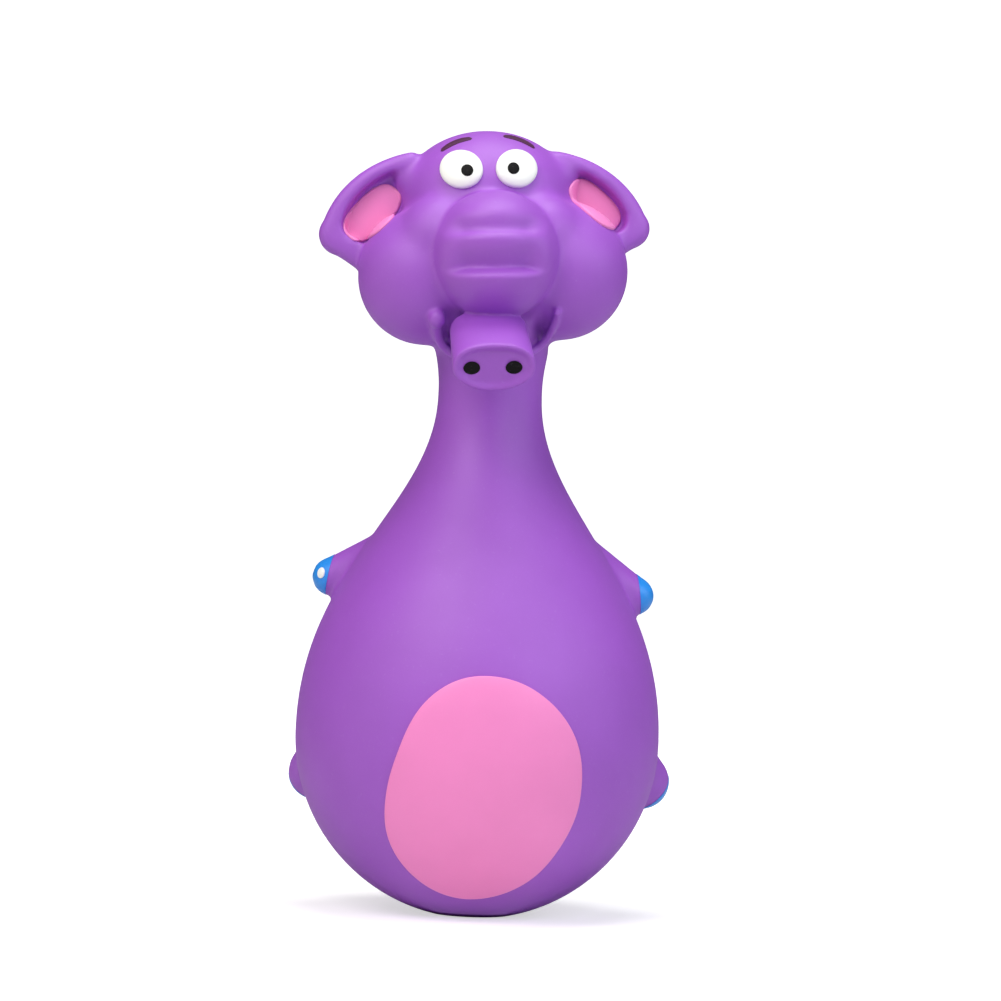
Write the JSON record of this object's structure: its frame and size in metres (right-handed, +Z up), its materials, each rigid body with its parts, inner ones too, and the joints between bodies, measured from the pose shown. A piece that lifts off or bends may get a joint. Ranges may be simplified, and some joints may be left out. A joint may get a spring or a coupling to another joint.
{
  "type": "squeaky dog toy",
  "caption": "Soft latex squeaky dog toy shaped as a long-necked elephant with a round belly, standing on a small flat base with a press-in squeaker.",
  "frame": {"origin": "middle of the flat base, on the surface that the toy stands on", "axes": "+Z up along the body; the face and the belly patch look along -Y; +X is to the right as a viewer faces the toy"},
  "size_m": [0.0877, 0.0842, 0.1793],
  "materials": {
    "latex_purple": "matte",
    "paint_pink": "satin",
    "paint_blue": "satin",
    "paint_white": "satin",
    "paint_black": "satin",
    "paint_brown": "matte",
    "fibre_fill": "matte",
    "squeaker_plastic": "satin",
    "reed_film": "gloss"
  },
  "bodies": {
    "base": {"belly_shell": "latex_purple", "belly_fill": "fibre_fill", "arm_left": "latex_purple", "arm_right": "latex_purple", "arm_hoof_left": "paint_blue", "arm_hoof_right": "paint_blue", "foot_left": "latex_purple", "foot_right": "latex_purple", "foot_hoof_left": "paint_blue", "foot_hoof_right": "paint_blue", "toenail": "paint_white", "squeaker_housing": "squeaker_plastic", "squeaker_cap": "squeaker_plastic", "reed_seat": "squeaker_plastic", "reed_wedge": "squeaker_plastic"},
    "pressed_wall": {"belly_patch": "paint_pink"},
    "reed": {"reed": "reed_film"},
    "neck": {"neck_sleeve": "latex_purple", "neck_fill": "fibre_fill"},
    "head": {"head_shell": "latex_purple", "head_fill": "fibre_fill", "trunk": "latex_purple", "trunk_tip": "latex_purple", "nostril_left": "paint_black", "nostril_right": "paint_black", "mouth_lip_left": "latex_purple", "mouth_lip_right": "latex_purple", "eye_left": "paint_white", "eye_right": "paint_white", "pupil_left": "paint_black", "pupil_right": "paint_black", "brow_left": "paint_brown", "brow_right": "paint_brown"},
    "ear_left": {"ear_left": "latex_purple", "ear_liner_left": "paint_pink"},
    "ear_right": {"ear_right": "latex_purple", "ear_liner_right": "paint_pink"}
  },
  "joints": [
    {"name": "belly_press", "type": "slide", "parent": "base", "child": "pressed_wall", "axis": [0, 0.9749, 0.2226], "range_m": [0, 0.01], "stiffness_N_per_m": 1500, "deforming": ["belly_shell", "belly_fill"]},
    {"name": "neck_lean", "type": "hinge", "parent": "base", "child": "neck", "pos_m": [0, 0, 0.104], "axis": [0, 1, 0], "range_deg": [-25, 25], "stiffness_Nm_per_rad": 0.3, "deforming": ["neck_sleeve", "neck_fill"]},
    {"name": "neck_nod", "type": "hinge", "parent": "neck", "child": "head", "pos_m": [0, 0, 0.1156], "axis": [1, 0, 0], "range_deg": [-25, 25], "stiffness_Nm_per_rad": 0.3, "deforming": ["neck_sleeve", "neck_fill"]},
    {"name": "ear_left_fold", "type": "hinge", "parent": "head", "child": "ear_left", "pos_m": [-0.02577, -0.00381, 0.16283], "axis": [-0.4565, -0.0319, -0.8891], "range_deg": [-12, 30], "stiffness_Nm_per_rad": 0.03},
    {"name": "ear_right_fold", "type": "hinge", "parent": "head", "child": "ear_right", "pos_m": [0.01962, -0.00063, 0.16461], "axis": [-0.5468, -0.0382, 0.8364], "range_deg": [-12, 30], "stiffness_Nm_per_rad": 0.03},
    {"name": "reed_flutter", "type": "hinge", "parent": "base", "child": "reed", "pos_m": [0, 0, 0.0058], "axis": [1, 0, 0], "range_deg": [-3, 3], "stiffness_Nm_per_rad": 0.0005}
  ]
}
